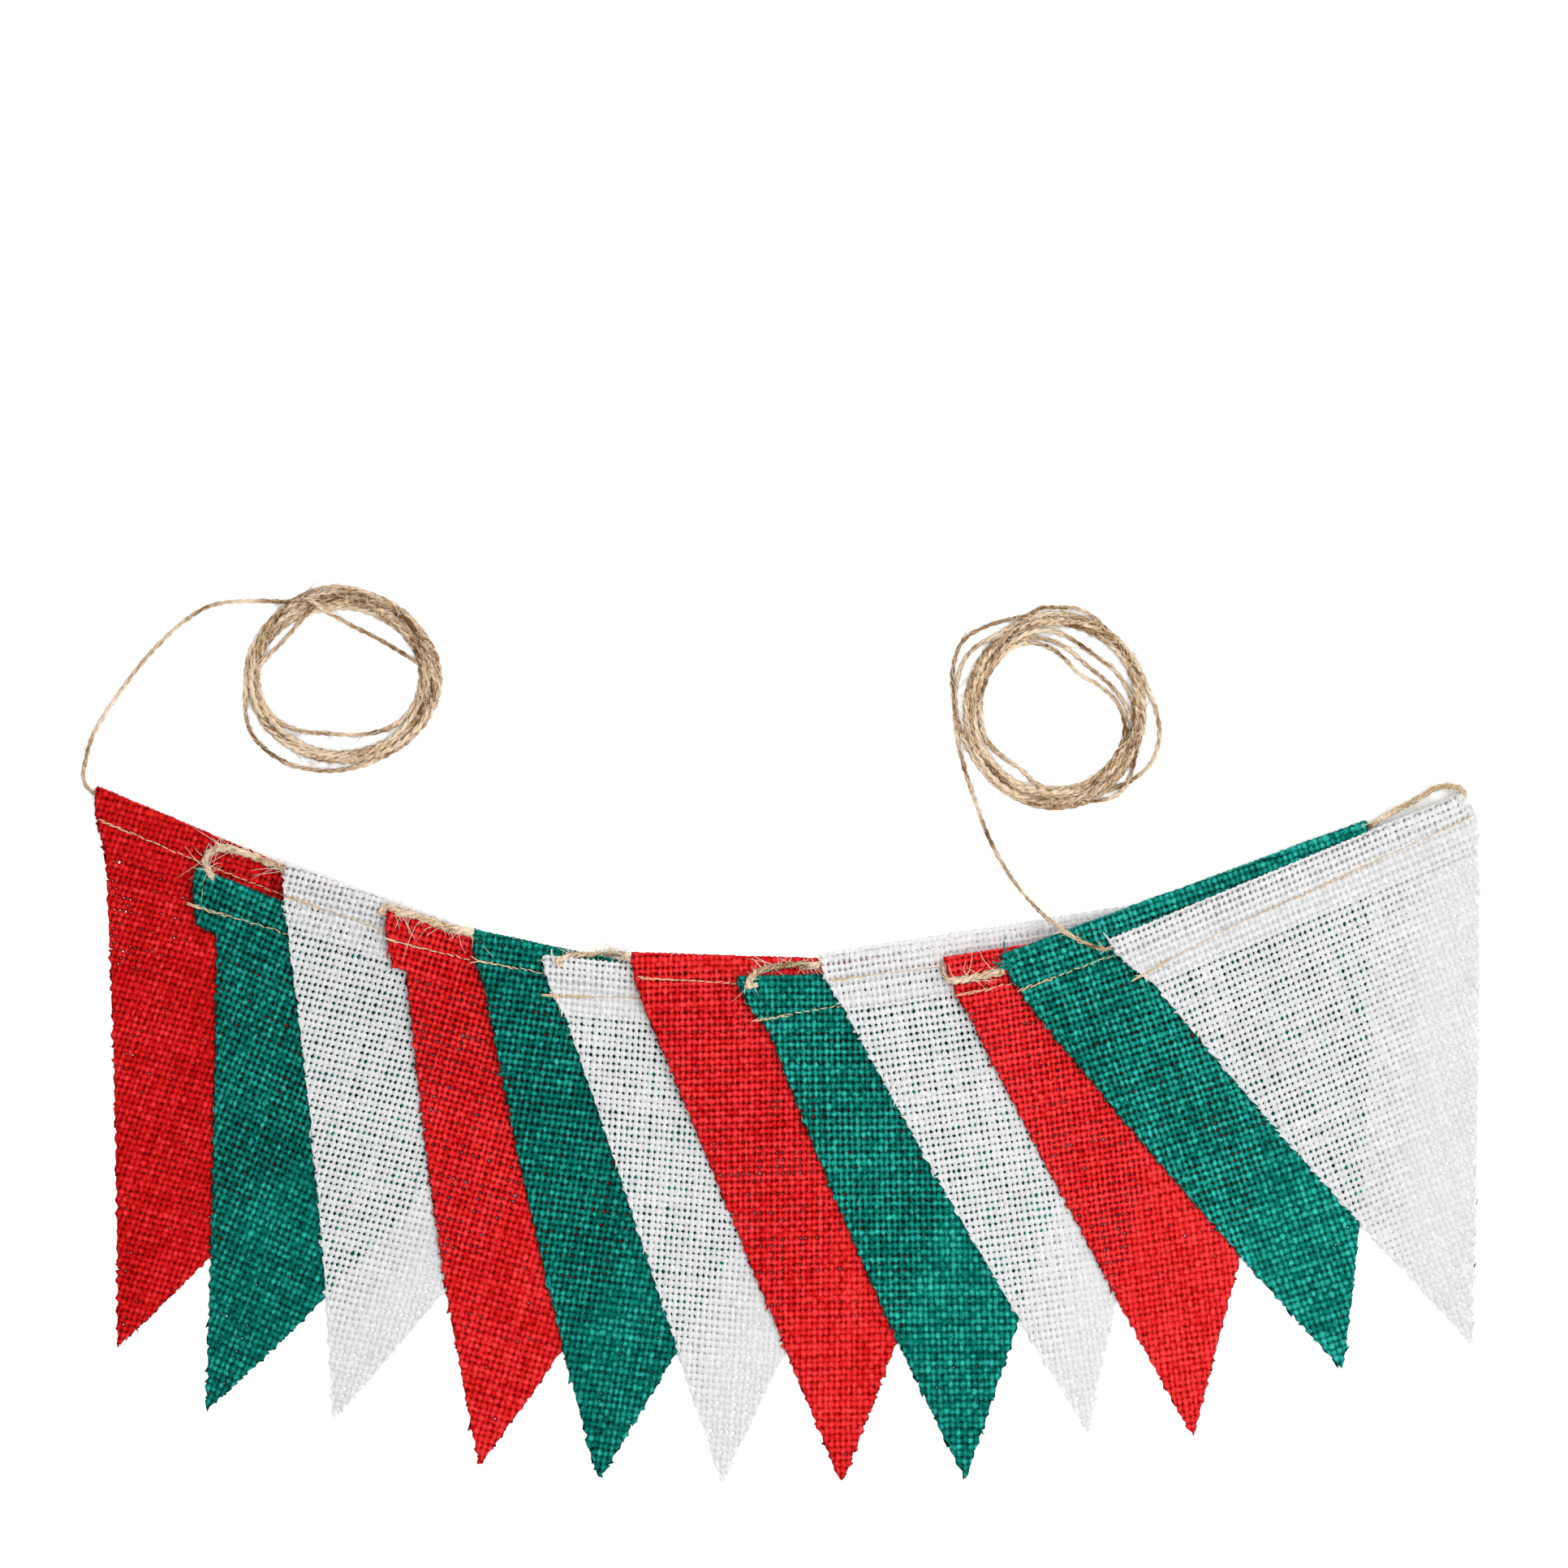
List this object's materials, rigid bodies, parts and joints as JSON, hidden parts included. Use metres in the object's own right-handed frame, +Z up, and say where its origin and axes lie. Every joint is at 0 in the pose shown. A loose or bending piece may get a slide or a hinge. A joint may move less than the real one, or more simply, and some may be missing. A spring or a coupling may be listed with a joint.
{
  "type": "fabric bunting",
  "caption": "Burlap bunting of red, green and white pennants with hemmed tops on one jute twine, folded into a flat fan with both ends of the twine coiled.",
  "frame": {"origin": "on the table, under the middle of the fan of pennants with its threaded twine, the coils and leads left out", "axes": "+X along the fan, to the right as it is seen; +Y in the plane of the table, from the tips towards the coils; +Z up from the table"},
  "size_m": [0.5023, 0.3171, 0.0284],
  "materials": {
    "red_burlap": "matte, open plain weave",
    "green_burlap": "matte, open plain weave",
    "white_burlap": "matte, open plain weave",
    "jute_twine": "matte, hairy twisted twine"
  },
  "bodies": {
    "root": {"pennant_01": "red_burlap", "pennant_02": "green_burlap", "pennant_03": "white_burlap", "pennant_04": "red_burlap", "pennant_05": "green_burlap", "pennant_06": "white_burlap", "pennant_07": "red_burlap", "pennant_08": "green_burlap", "pennant_09": "white_burlap", "pennant_10": "red_burlap", "pennant_11": "green_burlap", "pennant_12": "white_burlap", "twine_threaded": "jute_twine", "twine_lead_left": "jute_twine", "twine_lead_right": "jute_twine", "twine_coil_left": "jute_twine", "twine_coil_right": "jute_twine"}
  },
  "joints": []
}
